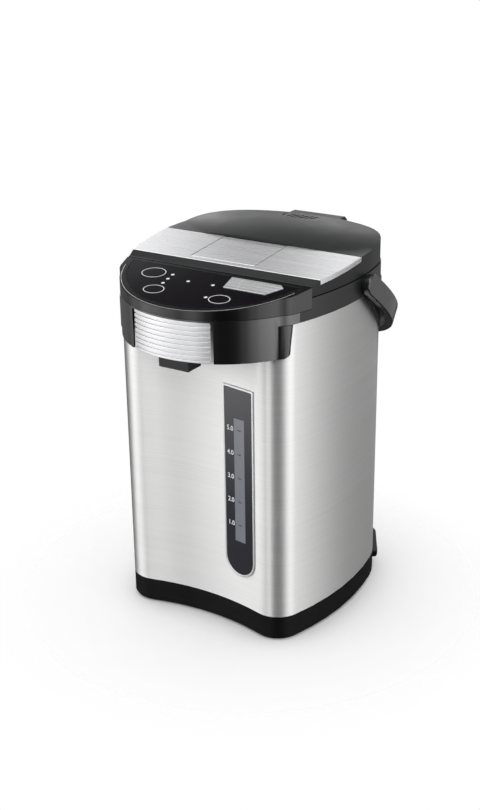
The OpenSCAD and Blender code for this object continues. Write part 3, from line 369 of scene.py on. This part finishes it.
def button_outline(button):
    """A thin pale line round the top of an oval button."""
    low, high = span(button + "_button", ON_PANEL)
    middle, half = (low + high) / 2, (high - low) / 2
    rings = []
    for i in range(OUTLINE_STEPS):
        turn = 2 * math.pi * i / OUTLINE_STEPS
        rings.append([(middle.x + (half.x - BUTTON_INSET - across * OUTLINE_W) * math.cos(turn),
                       middle.y + (half.y - BUTTON_INSET - across * OUTLINE_W) * math.sin(turn),
                       OUTLINE_HIGH if up else OUTLINE_LOW) for across, up in CORNERS])
    add_line(button + "_outline", rings, WHITE_PRINT, button, ON_PANEL, closed=True)


def painted_frame_highlight():
    """A pale line just inside the round front edge of the panel frame: a painted highlight, standing in for
    light caught by the frame's rounded edge.
    """
    radius = FRAME_ARC_Y - span("panel_frame", WORLD)[0].y - HIGHLIGHT_INSET
    arc_y = FRAME_ARC_Y - CREST_Y
    rings = []
    for i in range(HIGHLIGHT_STEPS + 1):
        turn = HIGHLIGHT_FROM + (HIGHLIGHT_TO - HIGHLIGHT_FROM) * i / HIGHLIGHT_STEPS
        rings.append([((radius - across * HIGHLIGHT_W) * math.cos(turn),
                       (arc_y + (radius - across * HIGHLIGHT_W) * math.sin(turn)) / math.cos(PANEL_TILT),
                       PROUD if up else -HIGHLIGHT_SUNK) for across, up in CORNERS])
    # silver paint here is a painted highlight, not a trim the frame has
    add_line("painted_frame_highlight", rings, SILVER, "pot", ON_PANEL)


def band_height(y):
    """Height of the lid band's sloping top at y, from its upper edges at the front and at the rear."""
    points = [vertex.co for vertex in NODES["lid_band"].data.vertices]
    front = min(points, key=lambda point: (round(point.y, 5), -point.z))
    rear = max(points, key=lambda point: (round(point.y, 5), point.z))
    return front.z + (rear.z - front.z) * (y - front.y) / (rear.y - front.y)


def lever_gap_shades():
    """Dark lines of painted shade on the band's slope, along the gaps at both sides of the lid's lever."""
    low, high = span("lid_lever", WORLD)
    for k, (edge, width) in enumerate(((low.x - SHADE_GAP, -SHADE_W), (high.x + SHADE_GAP, SHADE_W))):
        rings = [[(edge + across * width, y, band_height(y) + (PROUD if up else -SHADE_SUNK))
                  for across, up in CORNERS] for y in (low.y, high.y + SHADE_REAR)]
        # the dark material stands in for the shade in the gap, painted shade
        add_line(f"lever_gap_shade_{k}", rings, DARK_PRINT_AND_SHADE, "lid")


def plate_lines():
    """A bent pale line across the dispense plate, in two straight pieces."""
    low, high = span("dispense_plate", ON_PANEL)
    for i, ends in enumerate(zip(BEND, BEND[1:])):
        rings = [[(low.x + x + (across - 0.5) * BEND_W, high.y + y, high.z + (PROUD if up else -PROUD))
                  for across, up in CORNERS] for x, y in ends]
        add_line(f"plate_line_{i}", rings, WHITE_PRINT, "dispense", ON_PANEL)


def litre_marks():
    """Plain numbers beside the gauge's window, and a tick for each on the window."""
    low, high = span("gauge_window", ON_GAUGE)
    middle = (low.x + high.x) / 2
    face = span("gauge_panel", ON_GAUGE)[0].y
    for litre in range(1, 6):
        z = ONE_LITRE_Z + (litre - 1) * LITRE_H
        add_number(f"litre_{litre}", f"{litre}.0", NUMBER_SIZE, (low.x - NUMBER_GAP, face - NUMBER_PROUD, z),
                   WHITE_PRINT, "pot", ON_GAUGE)
        rings = [[(middle + side * TICK_W / 2, face + (2 * across - 1) * TICK_SUNK, z + (up - 0.5) * TICK_H)
                  for across, up in CORNERS] for side in (-1, 1)]
        add_line(f"tick_{litre}", rings, DARK_PRINT_AND_SHADE, "pot", ON_GAUGE)


for button in ("reboil", "temperature", "unlock"):
    button_outline(button)
painted_frame_highlight()
lever_gap_shades()
plate_lines()
litre_marks()


# ---------- studio ----------
FLOOR_HALF, FLOOR_COLOR = 3.0, (0.96, 0.96, 0.96)
FLOOR_FULL, FLOOR_GONE = 0.12, 0.30      # the floor fades out between these distances from the middle

TOP_LIGHT_AT, TOP_LIGHT_TARGET = Vector((-0.5, -0.2, 1.9)), Vector((0, 0, 0.2))
TOP_LIGHT_SIZE, TOP_LIGHT_WATTS = (1.4, 1.2), 3

# Brightness of the studio round the pot as metal and gloss see it, by direction in degrees from the
# front towards the right: two big soft panels with a gap between them, and a dim rear.
AROUND = [(-180, 0.36), (-168, 0.12), (-130, 0.12), (-100, 0.22), (-78, 0.85), (-62, 2.0), (-48, 2.2),
          (-30, 1.75), (-18, 1.15), (-8, 1.85), (-2, 1.9), (4, 1.2), (12, 0.4), (22, 0.04), (33, 0.03),
          (42, 0.08), (52, 0.5), (62, 1.35), (72, 2.2), (84, 2.7), (102, 2.25), (116, 1.85), (126, 1.15),
          (134, 0.75), (142, 0.56), (152, 0.43), (164, 0.34), (180, 0.36)]
# Brightness overhead and in the upper rear, by how far the direction leans to the right
OVERHEAD = [(-1.0, 0.3), (-0.68, 0.6), (-0.59, 2.5), (-0.555, 1.6), (-0.53, 0.7), (-0.50, 0.55),
            (-0.475, 1.0), (-0.452, 2.4), (-0.42, 1.6), (-0.34, 0.7), (0.0, 0.7), (1.0, 0.6)]
FULL = 4.0                   # brightness at the top of the ramps
TABLE = 0.04                 # the table close to the pot, seen in its lower edges
DARK_RING = 0.04             # the dark gap between the walls and the ceiling
FRONT_PANEL = 2.4            # a soft panel above the front, seen on the upper edges
ROOM_LOW, ROOM_HIGH = 0.6, 1.0   # the light on matt surfaces, from below and from above
# Where a direction of length 1 passes from one zone to the next, by its height or as the name says
TABLE_TO_WALL, WALL_TO_RING, RING_TO_CEILING = (-0.47, -0.30), (0.34, 0.52), (0.62, 0.85)
REAR_Y, REAR_Z = (0.1, 0.4), (-0.05, 0.12)
FRONT_PANEL_Y, FRONT_PANEL_Z = (0.05, -0.25), (0.45, 0.62)
ROOM_RISE = (-0.6, 0.6)

FOCAL_PX, FRAME_PX, SENSOR = 1309.0, 810.0, 36.0     # focal length and photo height in pixels; sensor in mm
CAMERA_AZIMUTH, CAMERA_ELEVATION, CAMERA_ROLL = math.radians(32.65), math.radians(22.4), math.radians(-0.84)
CAMERA_DISTANCE, CAMERA_TARGET = 1.408, Vector((-0.0075, -0.0048, 0.2158))
CLIP_NEAR, CLIP_FAR = 0.05, 20


def floor():
    """A pale floor that fades out round the pot. Reflections don't show it."""
    mesh = bpy.data.meshes.new("floor")
    corners = [(-1, -1), (1, -1), (1, 1), (-1, 1)]
    mesh.from_pydata([(x * FLOOR_HALF, y * FLOOR_HALF, 0) for x, y in corners], [], [(0, 1, 2, 3)])
    s = Shader("floor", FLOOR_COLOR, 0.6, spec=0.0)
    coord = s.node("ShaderNodeTexCoord")
    length = s.node("ShaderNodeVectorMath", operation="LENGTH")
    s.link(coord.outputs["Object"], length.inputs[0])
    fade = s.remap(length.outputs["Value"], 0, 1, FLOOR_FULL, FLOOR_GONE)
    clear = s.node("ShaderNodeBsdfTransparent")
    mix = s.node("ShaderNodeMixShader")
    s.link(fade, mix.inputs["Fac"])
    s.link(s.bsdf.outputs["BSDF"], mix.inputs[1])
    s.link(clear.outputs["BSDF"], mix.inputs[2])
    s.link(mix.outputs["Shader"], s.tree.nodes["Material Output"].inputs["Surface"])
    obj = add_object("floor", mesh, s.mat)
    obj.visible_glossy = False
    obj.visible_shadow = False


def top_light():
    """A weak soft light high above the pot, a little to its left and front."""
    light = bpy.data.lights.new("top", "AREA")
    light.shape = "RECTANGLE"
    light.size, light.size_y = TOP_LIGHT_SIZE
    light.energy = TOP_LIGHT_WATTS
    obj = bpy.data.objects.new("top", light)
    bpy.context.scene.collection.objects.link(obj)
    obj.location = TOP_LIGHT_AT
    obj.rotation_euler = (TOP_LIGHT_TARGET - TOP_LIGHT_AT).to_track_quat("-Z", "Y").to_euler()
    obj.visible_camera = False


def world():
    """A white background, plain room light on matt surfaces, and the studio's panels in reflections."""
    studio = bpy.data.worlds.new("studio")
    bpy.context.scene.world = studio
    studio.use_nodes = True
    tree = studio.node_tree
    tree.nodes.clear()

    def node(kind, **settings):
        return add_node(tree, kind, **settings)

    def math_node(operation, a, b=None):
        made = node("ShaderNodeMath", operation=operation)
        for i, value in enumerate((a, b)):
            if isinstance(value, (int, float)):
                made.inputs[i].default_value = value
            elif value is not None:
                tree.links.new(value, made.inputs[i])
        return made.outputs[0]

    def ramp(value, stops, low, high):
        """The brightness of the stops at the value, which runs from low to high."""
        made = node("ShaderNodeValToRGB")
        made.color_ramp.interpolation = "EASE"
        points = made.color_ramp.elements
        points.remove(points[0])
        for i, (at, level) in enumerate(stops):
            place = (at - low) / (high - low)
            point = points[0] if i == 0 else points.new(place)
            point.position = place
            point.color = (level / FULL, level / FULL, level / FULL, 1)
        tree.links.new(math_node("DIVIDE", math_node("SUBTRACT", value, low), high - low), made.inputs["Fac"])
        return math_node("MULTIPLY", made.outputs["Color"], FULL)

    def step(value, low, high):
        """A soft step from 0 to 1 while the value goes from low to high."""
        made = node("ShaderNodeMapRange", inputs={"From Min": low, "From Max": high},
                    interpolation_type="SMOOTHSTEP")
        tree.links.new(value, made.inputs["Value"])
        return made.outputs["Result"]

    def between(share, a, b):
        """a where the share is 0 and b where it is 1."""
        rest = math_node("SUBTRACT", 1, share)
        return math_node("ADD", math_node("MULTIPLY", rest, a), math_node("MULTIPLY", share, b))

    def background(color):
        made = node("ShaderNodeBackground")
        if isinstance(color, tuple):
            made.inputs["Color"].default_value = color
        else:
            tree.links.new(color, made.inputs["Color"])
        return made.outputs["Background"]

    def mix(share, a, b):
        made = node("ShaderNodeMixShader")
        tree.links.new(share, made.inputs["Fac"])
        tree.links.new(a, made.inputs[1])
        tree.links.new(b, made.inputs[2])
        return made.outputs["Shader"]

    coord = node("ShaderNodeTexCoord")
    split = node("ShaderNodeSeparateXYZ")
    tree.links.new(coord.outputs["Generated"], split.inputs["Vector"])
    x, y, z = split.outputs
    azimuth = math_node("MULTIPLY", math_node("ARCTAN2", x, math_node("MULTIPLY", y, -1)), 180 / math.pi)
    overhead = ramp(x, OVERHEAD, -1, 1)
    upper_rear = math_node("MULTIPLY", step(y, *REAR_Y), step(z, *REAR_Z))
    front_panel = math_node("MULTIPLY", step(y, *FRONT_PANEL_Y), step(z, *FRONT_PANEL_Z))
    level = between(step(z, *TABLE_TO_WALL), TABLE, ramp(azimuth, AROUND, -180, 180))
    level = between(upper_rear, level, overhead)
    level = between(step(z, *WALL_TO_RING), level, DARK_RING)
    level = between(step(z, *RING_TO_CEILING), level, overhead)
    level = between(front_panel, level, FRONT_PANEL)
    room = between(step(z, *ROOM_RISE), ROOM_LOW, ROOM_HIGH)
    path = node("ShaderNodeLightPath")
    lit = mix(path.outputs["Is Glossy Ray"], background(room), background(level))
    seen_through = math_node("MAXIMUM", path.outputs["Is Camera Ray"], path.outputs["Is Transmission Ray"])
    out = node("ShaderNodeOutputWorld")
    tree.links.new(mix(seen_through, lit, background((1, 1, 1, 1))), out.inputs["Surface"])


def camera():
    """The camera that was fitted to the photo."""
    cam = bpy.data.cameras.new("camera")
    cam.sensor_fit = "VERTICAL"
    cam.sensor_height = SENSOR
    cam.lens = FOCAL_PX * SENSOR / FRAME_PX
    cam.clip_start, cam.clip_end = CLIP_NEAR, CLIP_FAR
    obj = bpy.data.objects.new("camera", cam)
    bpy.context.scene.collection.objects.link(obj)
    sideways, ahead = math.sin(CAMERA_AZIMUTH), math.cos(CAMERA_AZIMUTH)
    level, rise = math.cos(CAMERA_ELEVATION), math.sin(CAMERA_ELEVATION)
    back = Vector((sideways * level, -ahead * level, rise))
    right = Vector((ahead, sideways, 0))
    upright = Matrix((right, back.cross(right), back)).transposed().to_4x4()
    place = Matrix.Translation(CAMERA_TARGET + back * CAMERA_DISTANCE)
    obj.matrix_world = place @ upright @ Matrix.Rotation(CAMERA_ROLL, 4, "Z")
    bpy.context.scene.camera = obj


floor()
world()
camera()
top_light()
bpy.context.scene.view_settings.view_transform = "Standard"
